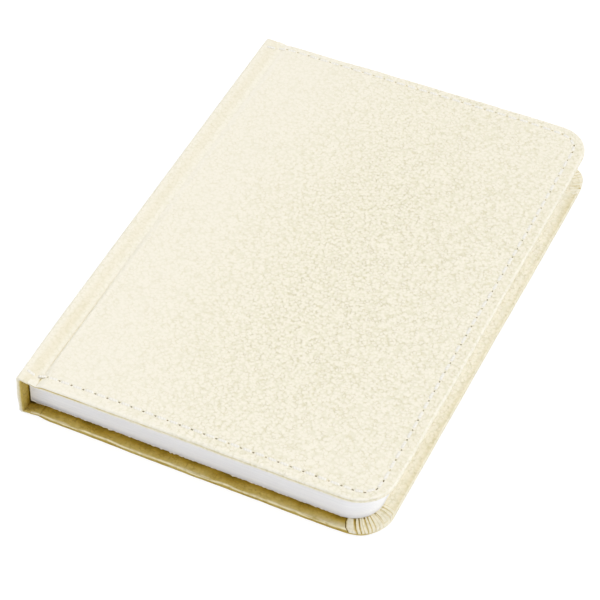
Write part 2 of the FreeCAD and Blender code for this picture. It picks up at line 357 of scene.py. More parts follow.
def stitch_inset(x, y):
    """How far in the stitching runs. It was guided by eye: wide of the tail at the spine, close to it at
    the corner, close to the head, wandering along the fore edge, and tight round the corners."""
    run = x - SPINE_X
    tail = 3.95 - 1.05 * min(1, max(0, (run - 32) / 64))
    head = 4.0 - 1.55 * smooth(1.5, 8, run) + 0.35 * smooth(84, 96, run)
    fore = 3.02 + 0.45 * smooth(-66, -20, y) - 0.2 * smooth(-10, 15, y) + 0.3 * smooth(40, 66, y)
    turn = round_corner(Vector((x, y, 0)))[1]
    tighter = (0.95 if y < 0 else 0.45) * math.sin(math.pi * turn) ** 2
    return (tail if y < 0 else head) * (1 - turn) + fore * turn - tighter


def outward(y, turn):
    """The direction out of the cover's outline, at a place so far round the corner."""
    return Vector((math.sin(turn * math.pi / 2), math.copysign(math.cos(turn * math.pi / 2), y), 0))


def skewed(place):
    """Carries the stitched channel, with the leather near it, to where the stitching really runs."""
    depth, turn = round_corner(place)
    share = smooth(0.2, 2.0, depth) * (1 - smooth(4.2, 9.0, depth))
    return place - outward(place.y, turn) * share * (stitch_inset(place.x, place.y) - STITCH_INSET)


def channel(depth):
    """How deep the thread has pulled the leather in, on and beside the stitching."""
    return 0.05 * smooth(0.75, 0, abs(depth - STITCH_INSET))


def bow(place, turn, front):
    """How far out of straight the cover's sides are, outwards from the outline."""
    run = place.x - SPINE_X
    if front:
        side = 0.3 * smooth(45, 80, run) if place.y < 0 else (
            0.42 * smooth(16, 42, run) + 0.2 * smooth(40, 80, run) - 0.35)
        fore = 0.18 + 0.1 * smooth(20, -50, place.y) - 0.3 * smooth(50, 68, place.y)
    else:
        side = 0.16 * smooth(26, 38, run) - 0.12 * smooth(50, 78, run) - 0.04
        fore = 0.2 * smooth(5, 40, place.y) - 0.06
    return side * (1 - turn) + fore * turn


def unevenness(x, y, z):
    """The leather's swell, about 9 mm across, and its ripple, about 2.6 mm."""
    return [noise.noise(Vector((x, y, z)) / size) for size in (9, 2.6)]


def lay_on_board(place, seed):
    """Bends the flat sheet into the joint, with its stitched channel and its slightly uneven face and rim."""
    share = (place.z - COVER_TOP + COVER) / COVER
    depth, turn = round_corner(place)
    rim, pressed_in = 1.4, -0.3
    swell, ripple = unevenness(place.x, place.y, seed)
    top = COVER_TOP - joint_dip(place.x, place.y)
    bottom = top - 2 * LEATHER if place.x < crease.x else COVER_TOP - COVER
    moved = skewed(place) if share > 0.5 else place
    moved.z = bottom + share * (top - bottom)
    if share > 0.8:
        moved.z += 0.05 * swell + 0.03 * ripple - channel(depth)
    if depth < 3.0:
        out = bow(place, turn, seed == FRONT) * smooth(3.0, 0.4, depth) * smooth(-2, 1, place.x - crease.x)
        if depth < rim:
            out += (0.12 * swell + 0.10 * ripple) * (1 - 0.5 * share)
        moved += outward(place.y, turn) * max(pressed_in, out)
    if share < 0.2:
        moved.z -= (0.16 if depth < rim else 0.05) * ripple * (1 - share * 5)
    return moved


def lift(place):
    """Raises what lies past the crease by the slope that the block gives the front cover."""
    if place.x <= crease.x:
        return place
    pivot = Vector((crease.x, place.y, crease.z))
    return pivot + Matrix.Rotation(-WEDGE, 3, "Y") @ (place - pivot)


def worn_corner(place):
    """The back cover's corners, which are less alike: fuller at the head and flatter at the tail."""
    depth, turn = round_corner(place)
    near = 1 - smooth(0, 7, depth)
    push = (1.2 if place.y > 0 else -0.55) * math.sin(math.pi * turn) ** 2 * near
    flat = 0.25 * smooth(-CORNER - 4, 3 - CORNER, place.x - FORE_X) * (1 - turn) * near
    return place + Vector((push * 0.7, math.copysign(push * 0.7, place.y) + (flat if place.y < 0 else 0), 0))


def drop(place):
    """The place on the back cover that mirrors one on the front."""
    return Vector((place.x, place.y, COVER_TOP - place.z))


def evenly(start, end, count):
    """The middles of count equal steps from start to end."""
    return [start + (end - start) * (i + 0.5) / count for i in range(count)]


straight_end = FORE_X - CORNER
corner_y = HALF - CORNER
tail_holes = [Vector((x, -HALF + STITCH_INSET, COVER_TOP))
              for x in evenly(SPINE_X + 6.0, straight_end - 0.3, 25)]
corner_holes = []
for turn in (9, 33, 57, 81):
    arm = Matrix.Rotation(math.radians(turn), 3, "Z") @ Vector((0, STITCH_INSET - CORNER, 0))
    corner_holes.append(Vector((straight_end, -corner_y, COVER_TOP)) + arm)
fore_holes = [Vector((FORE_X - STITCH_INSET, y, COVER_TOP))
              for y in evenly(0.95 - corner_y, corner_y - 0.95, 36)]
for hole in fore_holes:
    hole.y += 0.6 * math.cos(math.pi / 2 * hole.y / corner_y)
to_corner = tail_holes + corner_holes
to_head = [Vector((hole.x, -hole.y, hole.z)) for hole in reversed(to_corner)]
needle_holes = to_corner + fore_holes + to_head

# Pebble-grained leather, cream: embossed in small soft cells about a millimetre across, matt, worn smoother
# towards the spine, with a few open creases. The cells are painted lighter on their domes and the open
# creases
# darker: painted light and shade of the grain. Where it is turned in and pasted at the tail and head it is
# painted dark gold: painted shade. "tan" runs from 0, clean, past 1, the darkest painted shade, and below 0
# is a painted highlight, nearly white. The second attribute is 1 along a broken bright line on the back
# cover's rim: a painted highlight.
leather = new_material("pebble_grained_leather")
PEBBLE, PORE, OPEN_RUN, PATCH = 1.0 * MM, 0.8 * MM, 1.1 * MM, 6.0 * MM
rest = add_node(leather, "Attribute", {}, attribute_name="rest_place").outputs["Vector"]
tan = add_node(leather, "Attribute", {}, attribute_name="tan").outputs["Fac"]
polish = add_node(leather, "Attribute", {}, attribute_name="polish").outputs["Fac"]
across = add_node(leather, "SeparateXYZ", {0: rest})
relief = None  # how far the grain stands up: it is worn most towards the spine, less at the other edges
for axis, start, stop, from_worth, to_worth in (
        ("X", -0.033, 0.0, 0.45, 1.0), ("X", 0.015, 0.045, 1.0, 0.84),
        ("Y", 0.03, 0.072, 1.0, 0.8), ("Y", -0.066, -0.035, 0.8, 1.0)):
    eased = add_node(leather, "MapRange", {
        "Value": across.outputs[axis], "From Min": start, "From Max": stop,
        "To Min": from_worth, "To Max": to_worth})
    relief = add_node(leather, "Math", {0: relief, 1: eased}, operation="MULTIPLY") if relief else eased
pressed = add_node(leather, "MapRange", {"Value": tan, "From Min": 0.2, "From Max": 0.6})
relief = add_node(leather, "Math", {0: relief, 1: pressed}, operation="MAXIMUM")
wander = add_node(leather, "TexNoise", {"Vector": rest, "Scale": 700, "Detail": 2})
bent = add_node(leather, "VectorMath", {
    0: wander.outputs["Color"], 1: (0.5, 0.5, 0.5)}, operation="SUBTRACT")
bent = add_node(leather, "VectorMath", {0: bent, "Scale": 0.0008}, operation="SCALE")
bent = add_node(leather, "VectorMath", {0: bent, 1: rest}, operation="ADD")
pebble = add_node(leather, "TexVoronoi", {"Vector": bent, "Scale": 1 / PEBBLE})
pore = add_node(leather, "TexNoise", {"Vector": rest, "Scale": 1 / PORE, "Detail": 3})
patch = add_node(leather, "TexNoise", {"Vector": rest, "Scale": 1 / PATCH, "Detail": 2})
dome = add_node(leather, "MapRange", {
    "Value": pebble, "From Min": 0.1, "From Max": 0.8, "To Min": 0.7, "To Max": -0.25})
cells = add_node(leather, "Math", {0: pore, 1: 1.35, 2: dome}, operation="MULTIPLY_ADD")
edges = add_node(leather, "TexVoronoi", {"Vector": bent, "Scale": 1 / PEBBLE}, feature="DISTANCE_TO_EDGE")
crack = add_node(leather, "MapRange", {
    "Value": edges, "From Min": 0.02, "From Max": 0.16, "To Min": 1.0, "To Max": 0.0})
where = add_node(leather, "TexNoise", {"Vector": rest, "Scale": 1 / OPEN_RUN, "Detail": 1})
where = add_node(leather, "MapRange", {"Value": where, "From Min": 0.47, "From Max": 0.64})
open_crease = add_node(leather, "Math", {0: crack, 1: where}, operation="MULTIPLY")
open_crease = add_node(leather, "Math", {0: open_crease, 1: relief}, operation="MULTIPLY")
# The colour follows the cells: lighter on their domes and darker between them, a painted light and shade of
# the grain, with the pores' own mottle.
shade = add_node(leather, "ValToRGB", {0: cells})
shade.color_ramp.elements[0].position = 0.52
shade.color_ramp.elements[0].color = linear("EFEAD1")
shade.color_ramp.elements[1].position = 1.0
shade.color_ramp.elements[1].color = linear("FBF5E2")
even = add_node(leather, "Mix", {"Factor": relief, "A": "F6F1E1", "B": shade}, data_type="RGBA")
faded = add_node(leather, "MapRange", {"Value": patch, "From Min": 0.3, "From Max": 0.8, "To Max": 0.17})
faded = add_node(leather, "Math", {0: faded, 1: relief}, operation="MULTIPLY")
drift = add_node(leather, "Mix", {"Factor": faded, "A": even, "B": "F1EBD6"}, data_type="RGBA")
# The open creases are painted darker: painted shade.
lined = add_node(leather, "Math", {0: open_crease, 1: 0.38}, operation="MULTIPLY")
creased = add_node(leather, "Mix", {"Factor": lined, "A": drift, "B": "D2C794"}, data_type="RGBA")
# Below 0, the colour is mixed towards near white: a painted highlight.
painted_highlight = add_node(leather, "MapRange", {
    "Value": tan, "From Min": -1.0, "From Max": 0.0, "To Min": 1.0, "To Max": 0.0})
painted_highlight = add_node(leather, "Mix", {"Factor": painted_highlight, "A": creased, "B": "FFFBEF"}, data_type="RGBA")
# Above 0, painted shade: the colour is taken down towards dark gold, unevenly in patches.
painted_shade_amount = add_node(leather, "MapRange", {
    "Value": patch, "From Min": 0.3, "From Max": 0.7, "To Min": 0.68, "To Max": 0.92})
painted_shade_amount = add_node(leather, "Math", {0: painted_shade_amount, 1: tan}, operation="MULTIPLY")
painted_shade_colour = add_node(leather, "ValToRGB", {0: painted_shade_amount})
painted_shade_colour.color_ramp.elements[0].color = (1, 1, 1, 1)
painted_shade_colour.color_ramp.elements[1].color = linear("4E3E10")
for share, colour in ((0.16, "EEE8D2"), (0.40, "D0BC70"), (0.60, "B59838"), (0.80, "8C7312")):
    painted_shade_colour.color_ramp.elements.new(share).color = linear(colour)
# The painted highlight and the painted shade together.
surface_colour = add_node(leather, "Mix", {
    "Factor": 1.0, "A": painted_highlight, "B": painted_shade_colour}, data_type="RGBA", blend_type="MULTIPLY")
# A painted highlight, pale gold, along the back cover's rim.
surface_colour = add_node(leather, "Mix", {
    "Factor": polish, "B": "FFF5CC", "A": surface_colour}, data_type="RGBA")
height = add_node(leather, "Math", {0: open_crease, 1: -0.7, 2: cells}, operation="MULTIPLY_ADD")
height = add_node(leather, "Math", {0: height, 1: relief}, operation="MULTIPLY")
grain = add_node(leather, "Bump", {"Height": height, "Strength": 0.9, "Distance": 0.00013})
leather_surface = add_node(leather, "BsdfPrincipled", {
    "Base Color": surface_colour, "Roughness": 0.6, "Specular IOR Level": 0.14, "Normal": grain})
add_node(leather, "OutputMaterial", {"Surface": leather_surface})

# The needle holes, which show the dark flesh side of the skin and the shadow in them.
needle_hole = new_material("needle_hole_in_leather")
pit_rest = add_node(needle_hole, "Attribute", {}, attribute_name="rest_place").outputs["Vector"]
pit_fibre = add_node(needle_hole, "TexNoise", {"Vector": pit_rest, "Scale": 1 / 0.004})
pit_place = add_node(needle_hole, "SeparateXYZ", {0: pit_rest})
pit_head = add_node(needle_hole, "MapRange", {
    "Value": pit_place.outputs["Y"], "From Min": 0.070, "From Max": 0.072, "To Max": 0.4})
pit_open = add_node(needle_hole, "Math", {0: pit_fibre, 1: pit_head}, operation="ADD")
pit_open = add_node(needle_hole, "MapRange", {"Value": pit_open, "From Min": 0.48, "From Max": 0.72})
pit_colour = add_node(needle_hole, "Mix", {
    "Factor": pit_open, "A": "6C5B28", "B": "CBBF98"}, data_type="RGBA")
pit_surface = add_node(needle_hole, "BsdfPrincipled", {
    "Base Color": pit_colour, "Roughness": 0.9, "Specular IOR Level": 0.1})
add_node(needle_hole, "OutputMaterial", {"Surface": pit_surface})

cover = block("cover_sheet", (SEAM_X, -HALF, COVER_TOP - COVER), (FORE_X, HALF, COVER_TOP))
take_out(lambda p, n: n.x < -0.9)
round_off(CORNER, 15, lambda a, b: a.x > FORE_X - 0.01 and b.x > FORE_X - 0.01 and abs(a.y - b.y) < 0.01)
round_off(EDGE_ROUND, 4, lambda a, b: abs(a.z - b.z) < 0.01 and max(a.x, b.x) > SEAM_X + 1)
cut(2, [COVER_TOP - COVER * share for share in (0.42, 0.5, 0.58)])
pick("faces", lambda p, n: n.z > 0.99)
for step in (0.8, 0.85, STITCH_INSET - EDGE_ROUND - 1.65 - LIP - HOLE / 2, LIP, HOLE, LIP):
    bpy.ops.mesh.inset(thickness=step, use_boundary=False)
pick("faces", lambda p, n: n.z < -0.99)
for step in (1.2, 1.2, 1.2, TURN_IN - EDGE_ROUND - 3.6):
    bpy.ops.mesh.inset(thickness=step, use_boundary=False)
bpy.ops.mesh.delete(type="FACE")
take_out(lambda p, n: abs(n.z) > 0.99 and p.z < COVER_TOP - COVER / 2
         and math.hypot(straight_end - p.x, corner_y - abs(p.y)) < 4)
cut(0, JOINT_CUTS)
pitch = tail_holes[1].x - tail_holes[0].x
for hole in tail_holes:
    cut(0, [hole.x + step for step in (-TAIL_HOLE / 2, TAIL_HOLE / 2, 0.3 * pitch, 0.5 * pitch, 0.7 * pitch)])
for hole in fore_holes:
    cut(1, (hole.y - HOLE / 2, hole.y + HOLE / 2))
cut(1, (-corner_y, corner_y))
pick("faces", lambda p, n: n.z > 0.99 and min((p - hole).length for hole in needle_holes) < 0.2)
bpy.ops.mesh.inset(thickness=HOLE_RIM, use_individual=True)
bpy.ops.transform.translate(value=(0, 0, -HOLE_DEPTH))
cover.data.materials.append(leather)
cover.data.materials.append(needle_hole)
cover.active_material_index = 1
bpy.ops.object.material_slot_assign()
deselect()


def joint_strip_darkening(place):
    """A faint darkening along the middle of the joint's strip, most towards the tail."""
    run = place.x - SPINE_X
    return (0.042 + 0.04 * smooth(-30, -50, place.y)) * smooth(1.4, 3.0, run) * smooth(5.4, 4.2, run)


def painted_light_on_cover(place, rim):
    """Painted light and shade on the leather. Painted shade on the turned-in face at the tail and head,
    deepest under the pages, and along the middle of the rim, with a painted highlight on the fold. The fore
    edge stays pale."""
    depth, turn = round_corner(place)
    share = (place.z - COVER_TOP + COVER) / COVER
    run, inset, side = place.x - SPINE_X, HALF - abs(place.y), smooth(0.1, 0.8, turn)
    if share < 0.05:
        # Turned-in face: painted shade, deeper towards the pages and lighter towards the fore corner, with a
        # broken painted highlight along the fold; at the fore edge, pale, darker towards the rim and near the
        # head corner.
        amount = 0.5 + 0.46 * smooth(0.4, 4.0, depth) - 0.07 * smooth(60, 80, run)
        amount -= 0.22 * smooth(80, 97, run) * smooth(3.5, 1.5, depth)
        amount -= (0.12 - 0.3 * noise.noise((place.x / 3, 1, place.y / 3))) * smooth(0.62, 0.4, depth)
        band = 0.11 * smooth(2.2, 0.7, depth) - 0.03 + 0.06 * smooth(0, -45, place.y)
        band += 0.11 * smooth(40, 62, place.y) * smooth(3.4, 0.8, depth)
    elif share > 0.95:
        # Outer face: a painted highlight on the rounded edge; on the crease at the tail, a line of painted
        # shade ending in a darker painted shadow; where the crease rises to the board, a painted highlight.
        amount = joint_strip_darkening(place) - 0.3 * smooth(1.0, 0.5, depth)
        band = 0.02 * smooth(3.4, 1.6, depth) - 0.35 * smooth(0.6, 0.4, depth)
        crease_line = max(0, 1 - abs(run - 6.2) / 0.25) * smooth(3.4, 4.6, inset)
        amount += 0.13 * smooth(-20, -60, place.y) * crease_line
        board_edge = smooth(6.1 + 0.4 * smooth(-20, -50, place.y), 6.7, run) * smooth(8.6, 7.4, run)
        amount -= (0.2 + 0.1 * smooth(-30, 30, place.y)) * board_edge
        if abs(run - 6.28) < 0.1 and inset < 2.5 and place.y < 0:
            amount = 0.42 if inset > 2 else 0.14  # the crease's end: a painted shadow
    elif rim == "back":
        # Back cover's rim: painted shade, strongest across its middle.
        amount = 0.45 + 0.18 * smooth(0.1, 0.4, share) - 0.2 * smooth(0.5, 0.8, share)
        band = 0.05
    else:
        # Front cover's rim: a band of painted shade across its middle, uneven along it and stronger towards
        # the spine, and a painted highlight on its top rounding.
        shade_strength = 0.75 + 0.9 * noise.noise((place.x / 4, place.y / 4, 9))
        amount = smooth(0.42, 0.6, share) * smooth(0.82, 0.66, share)
        amount *= (0.3 + 0.36 * smooth(40, 12, run)) * shade_strength
        amount -= 0.25 * smooth(0.76, 0.88, share)
        band = 0.03 - 0.38 * smooth(0.75, 0.9, share)
    return amount * (1 - side) + band * side


def rim_highlight_on_cover(place, rim):
    """A painted highlight, a broken and wandering bright line, along the fold of the back cover's rim."""
    depth, turn = round_corner(place)
    share = (place.z - COVER_TOP + COVER) / COVER
    if rim == "front" or depth > 1.0:
        return 0.0
    line = 0.15 + 0.17 * noise.noise((place.x / 6, place.y / 6, 11))
    broken = 0.9 + 0.9 * noise.noise((place.x / 1.3, place.y / 1.3, 17))
    height = share if share > 0.05 else 0.03 - 0.8 * max(0.0, depth - 0.4)
    return max(0.0, min(1.0, (1.25 - abs(height - line) / 0.1) * broken)) * (1 - smooth(0.1, 0.8, turn))


for name, rim, seed, node in (
        ("front_cover_skin", "front", FRONT, "front_cover_leather"),
        ("back_cover_skin", "back", BACK, "back_cover_leather")):
    skin = twin(cover, name)
    store(skin, "tan", "FLOAT", lambda place: painted_light_on_cover(place, rim))
    store(skin, "polish", "FLOAT", lambda place: rim_highlight_on_cover(place, rim))
    reshape(skin, lambda place: lay_on_board(place, seed))
    modify(skin, "SOLIDIFY", thickness=LEATHER, offset=-1, use_even_offset=False)
    if seed == FRONT:
        reshape(skin, lift)
    else:
        reshape(skin, lambda place: worn_corner(drop(place)))
        face_out(skin)
    finish(skin, leather)
    if seed == FRONT:
        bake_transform(skin)
    else:
        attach(skin, "back_cover")
    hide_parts(node)
bpy.data.objects.remove(cover)

# ---- Spine leather
# The square spine panel and the strip of joint on each side of it, from the same skin: leather outside,
# turned in at the tail and head. It is made as two halves, which meet along the middle of the spine.

END_ROUND = 0.38  # the fold at the tail and head ends of the spine
PARED = 0.9 * LEATHER
spine_half = block("spine_half", (SPINE_X, -HALF, COVER_TOP / 2), (SPINE_X + COVER, HALF, COVER_TOP))
cut(2, [COVER_TOP - 2 * LEATHER])
pick("faces", lambda p, n: n.x > 0.9 and p.z > COVER_TOP - 2 * LEATHER)
bpy.ops.mesh.extrude_region_move(TRANSFORM_OT_translate={"value": (SEAM_X - SPINE_X - COVER, 0, 0)})
take_out(lambda p, n: (n.x > 0.9 and p.x > SEAM_X - 0.01) or n.z < -0.9 and p.z < COVER_TOP / 2 + 0.01)
round_off(SPINE_ROUND, 5, lambda a, b: min(a.z, b.z) > COVER_TOP - 0.01 and max(a.x, b.x) < SPINE_X + 0.01)
pick("edges", lambda a, b: abs(a.y - b.y) < 0.01)
mesh = bmesh.from_edit_mesh(spine_half.data)
for edge in mesh.edges:
    if edge.select:
        edge.select = len(edge.link_faces) == 2 and edge.calc_face_angle() > 1.0
bmesh.update_edit_mesh(spine_half.data)
bpy.ops.mesh.bevel(offset=END_ROUND, segments=4, affect="EDGES")
ring = [STITCH_INSET + step for step in (-HOLE / 2 - LIP, -HOLE / 2, HOLE / 2, HOLE / 2 + LIP)]
ring += [EDGE_ROUND + 0.8, TURN_IN, 25, 40, 55, 70]
cut(1, [side * (HALF - depth) for depth in ring for side in (-1, 1)])
cut(2, evenly(COVER_TOP / 2, COVER_TOP - SPINE_ROUND, 6))
cut(0, [SPINE_X + 2.4, SPINE_X + 3.1])
take_out(lambda p, n: abs(p.y) < HALF - TURN_IN and (n.x > 0.9 or n.z < -0.9))
deselect()


def lay_on_spine(place, seed):
    """Dips the strip into the joint, and gives the panel the cover's uneven face and rim."""
    swell, ripple = unevenness(place.x, place.y, seed + place.z)
    moved = place.copy()
    if place.z > COVER_TOP - 0.01:
        moved = skewed(place)
        moved.z -= channel(HALF - abs(place.y))
    corner = 1 - smooth(0, 1.8, place.x - SPINE_X)
    if place.y > 0:
        near = smooth(3.5, 0.2, HALF - place.y)
        moved += Vector((0.12 * corner, -0.3 - 0.05 * corner, 0)) * near * near
    else:
        moved.x += 0.3 * smooth(-54, -74, place.y) * corner * smooth(6, 12, place.z)
    moved.z -= joint_dip(place.x, place.y)
    if HALF - abs(place.y) < 1.0:
        moved.y += math.copysign(0.05 * swell + 0.03 * ripple, place.y)
    return moved


def painted_shade_on_spine(place):
    """Painted shade, dark gold, on the turned-in faces, deepest furthest in; outside, the joint strip's faint
    darkening.
    """
    inside = smooth(0.9, 1.6, place.x - SPINE_X) if place.z < COVER_TOP - 0.5 else 0.0
    inset = HALF - abs(place.y)
    turned_in = 0.56 + 0.2 * smooth(0.5, 4, inset) + 0.4 * smooth(3.2, 3.8, inset)
    return inside * turned_in + (1 - inside) * (joint_strip_darkening(place) + 0.02 * smooth(1.0, 0.3, inset))


for name, seed in (("spine_and_front_joint_skin", FRONT), ("spine_and_back_joint_skin", BACK)):
    skin = twin(spine_half, name)
    store(skin, "tan", "FLOAT", painted_shade_on_spine)
    reshape(skin, lambda place: lay_on_spine(place, seed))
    modify(skin, "SOLIDIFY", thickness=PARED, offset=-1, use_even_offset=False)
    if seed == BACK:
        reshape(skin, drop)
        face_out(skin)
    finish(skin, leather)
    if seed == BACK:
        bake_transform(skin)
        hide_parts("spine_leather")
    else:
        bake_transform(skin)
        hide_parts("front_joint_leather", "spine_leather")
bpy.data.objects.remove(spine_half)

# ---- Corner pleats
# Inside each fore-edge corner the turn-in is gathered into a fan of small tucks, wide on the tail side
# and narrow on the fore side, with creases between them painted dark: painted shade.

TUCK_LENGTH = 5.4
SHOULDER = 0.62  # the share of a tuck that lies flat, up to where it bends over the rim
TUCK_EDGES = (8.0, 23.5, 30.5, 36.0, 41.5, 47.0, 53.0, 59.0, 65.5, 72.0, 78.5, 85.0, 92.0)
tuck = block("tuck", (0, -1, 0), (1, 1, 1))
cut(0, [0.2, 0.4, 0.55, SHOULDER, 0.7, 0.78, 0.86, 0.93])
cut(1, [-0.97, -0.9, -0.78, -0.5, 0, 0.5, 0.78, 0.9, 0.97])
deselect()


def lay_tuck(place, low_turn, high_turn, height, lean, wrap):
    """Bends the tuck's blank over the cover's inner face and round its rim, between two turns in degrees."""
    along, overlap = place.x, 1.03
    turn = (low_turn + high_turn) / 2 + place.y * overlap * (high_turn - low_turn) / 2
    turn = 45 + (turn - 45) * (1 + 0.42 * (1 - smooth(0, 1, along))) + lean * (1 - along)
    if along < SHOULDER:
        radius = CORNER - EDGE_ROUND - TUCK_LENGTH * (1 - along / SHOULDER)
        level, out, up = COVER, 0.0, 1.0
    else:
        bend = (along - SHOULDER) / (1 - SHOULDER) * math.radians(wrap)
        radius = CORNER - EDGE_ROUND + EDGE_ROUND * math.sin(bend)
        level = COVER - EDGE_ROUND + EDGE_ROUND * math.cos(bend)
        out, up = math.sin(bend), math.cos(bend)
    crown = height * (1 - abs(place.y) ** 3.5) ** 0.7
    crown *= smooth(0.1, 0.42, along) * (1 - 0.75 * smooth(0.72, 1, along))
    off = -0.25 + (0.28 + crown) * place.z
    radius += out * off
    level += up * off
    arm = Matrix.Rotation(math.radians(turn), 3, "Z") @ Vector((0, -radius, 0))
    return Vector((straight_end + arm.x, -corner_y + arm.y, level))


def painted_shade_on_tuck(place):
    """Painted shade: dark where two tucks meet, most at their inner ends, and darker on the tail side."""
    return smooth(0.6, 0.95, abs(place.y)) * (1.4 - 0.8 * smooth(0.1, SHOULDER, place.x)) + 0.08


luck = random.Random(3)


def gather(name, wrap):
    """The fans of both corners, whose tucks reach round the rim by wrap degrees."""
    tucks = []
    for low_turn, high_turn in zip(TUCK_EDGES, TUCK_EDGES[1:]):
        one = twin(tuck, "tuck_one")
        shade_side = (1 - smooth(10, 80, low_turn)) * luck.choice((0.5, 0.8, 1.2))
        strength = 0.35 + 0.65 * shade_side
        # Painted shade on each tuck; the first one on the tail side is darkest along its edge.
        store(one, "tan", "FLOAT", lambda place: 1.6 if low_turn < 9 and place.y < -0.8 else
              painted_shade_on_tuck(place) * strength)
        height, lean = luck.uniform(0.13, 0.2) * strength, luck.uniform(-2, 2)
        reshape(one, lambda place: lay_tuck(place, low_turn, high_turn, height, lean, wrap))
        tucks.append(one)
    tail_tucks = join(tucks, "tail_tucks")
    head_tucks = twin(tail_tucks, "head_tucks")
    head_tucks.data.transform(Matrix.Scale(-1, 4, (0, 1, 0)))
    # At the head corners, one crease is painted dark and the rest of the painted shade is made lighter.
    for vertex, kept in zip(head_tucks.data.vertices, head_tucks.data.attributes["tan"].data):
        kept.value *= 3.0 if 0.84 < round_corner(vertex.co)[1] < 0.905 else 0.35
    reshape(head_tucks, lambda place: Vector((
        place.x, place.y, min(place.z, COVER + (place.z - COVER) * 0.35))))
    return join([tail_tucks, head_tucks], name)


back_pleats = gather("back_corner_pleats", 100)
front_pleats = gather("front_corner_pleats", 25)
bpy.data.objects.remove(tuck)
reshape(back_pleats, worn_corner)
face_out(back_pleats)
reshape(front_pleats, lambda place: lift(drop(place)))
face_out(front_pleats)
for piece, body in ((back_pleats, "back_cover"), (front_pleats, "front_cover")):
    finish(piece, leather, angle=60)
    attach(piece, body)

# ---- Stitching
# White three-ply thread sewn by machine through both skins, about 3.4 mm to the stitch. Each stitch is a
# short length that rises from one needle hole and sinks into the next.

THREAD = 0.74
SLACK = 0.07
SUNK = 0.7  # how much of each stitch lies down in its two holes
deselect()
bpy.ops.mesh.primitive_cylinder_add(vertices=8, radius=THREAD / 2, depth=1, rotation=(0, math.radians(90), 0))
stitch = bpy.context.object
stitch.name = "stitch"
bpy.ops.object.transform_apply()
bpy.ops.object.mode_set(mode="EDIT")
cut(0, [-0.44, -0.36, -0.2, 0.2, 0.36, 0.44])
deselect()
store(stitch, "along", "FLOAT_VECTOR", lambda place: place)
# Fuller in its middle, pressed flat, and turned down at both ends into its holes.
reshape(stitch, lambda place: Vector((place.x, place.y * (1 + 0.2 * (1 - abs(2 * place.x))),
                                      place.z * 0.3 + 0.08 - 17 * max(0, abs(place.x) - 0.33) ** 2)))

# White polyester thread of three plies: a little sheen, and the twist as slanting ridges, which are drawn
# coarser than they are so that they show.
thread = new_material("white_three_ply_thread")
along = add_node(thread, "Attribute", {}, attribute_name="along")
parts = add_node(thread, "SeparateXYZ", {0: along.outputs["Vector"]})
around = add_node(thread, "Math", {0: parts.outputs["Y"], 1: parts.outputs["Z"]}, operation="ARCTAN2")
lay = add_node(thread, "Math", {0: parts.outputs["X"], 1: 22.0, 2: around}, operation="MULTIPLY_ADD")
ply = add_node(thread, "Math", {0: lay}, operation="SINE")
ply_shade = add_node(thread, "MapRange", {"Value": ply, "From Min": -1.0})
thread_colour = add_node(thread, "Mix", {
    "Factor": ply_shade, "A": "F1EDE0", "B": "F9F6EC"}, data_type="RGBA")
twist = add_node(thread, "Bump", {"Height": ply, "Strength": 0.2, "Distance": 0.00008})
thread_surface = add_node(thread, "BsdfPrincipled", {
    "Base Color": thread_colour, "Roughness": 0.5, "Sheen Weight": 0.15, "Normal": twist})
add_node(thread, "OutputMaterial", {"Surface": thread_surface})


def sew(first, second, up):
    """One stitch from hole to hole, lying on the surface whose outward direction is up."""
    one = twin(stitch, "stitch_one")
    slack = Vector((luck.uniform(-SLACK, SLACK), luck.uniform(-SLACK, SLACK), 0))
    first, second = first + slack, second + slack
    run = second - first
    side = up.cross(run).normalized()
    top = run.normalized().cross(side)
    turn = Matrix((run.normalized(), side, top)).transposed().to_4x4()
    length = run.length - SUNK + luck.uniform(-0.15, 0.15)
    one.data.transform(Matrix.Translation((first + second) / 2) @ turn @ Matrix.Diagonal((length, 1, 1, 1)))
    return one


UP = Vector((0, 0, 1))
strip_holes = [[Vector((SPINE_X + x, side * (HALF - STITCH_INSET + near), COVER_TOP))
                for x, near in ((1.2, 0.0), (4.8, 0.75 if side < 0 else 0.0))] for side in (-1, 1)]
front_sewn, back_sewn = [], []
for first, second in zip(needle_holes, needle_holes[1:]):
    front_sewn.append(sew(*[lift(lay_on_board(hole, FRONT)) for hole in (first, second)], UP))
    back_sewn.append(sew(*[drop(lay_on_board(hole, BACK)) for hole in (first, second)], -UP))
joint_sewn, crease_sewn = [], []
for (outer_hole, inner_hole), cover_hole in zip(strip_holes, (needle_holes[0], needle_holes[-1])):
    line = [lay_on_board(hole, FRONT) for hole in (outer_hole, inner_hole, cover_hole)]
    joint_sewn.append(sew(line[0], line[1], UP))
    crease_sewn.append(sew(line[1], lift(line[2]), UP))
    line = [drop(lay_on_board(hole, BACK)) for hole in (outer_hole, inner_hole, cover_hole)]
    back_sewn += [sew(line[0], line[1], -UP), sew(line[1], line[2], -UP)]
spine_sewn = []
for side in (-1, 1):
    ends = [Vector((SPINE_X + 0.05, side * (HALF - 4.2), z)) for z in (1.0, 4.87, 8.73, 12.6)]
    spine_sewn += [sew(a, b, Vector((-1, 0, 0))) for a, b in zip(ends, ends[1:])]
bpy.data.objects.remove(stitch)
for name, sewn, body, node in (
        ("front_stitches", front_sewn, "front_cover", "front_stitching"),
        ("back_stitches", back_sewn, "back_cover", "back_stitching"),
        ("front_joint_stitches", joint_sewn, "front_joint", "front_joint_stitching"),
        ("front_crease_stitches", crease_sewn, "front_joint", "front_joint_stitching"),
        ("spine_stitches", spine_sewn, "book_block", "spine_stitching")):
    piece = join(sewn, name)
    finish(piece, thread, angle=80)
    if name == "front_crease_stitches":
        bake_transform(piece)
    else:
        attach(piece, body)
    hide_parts(node)

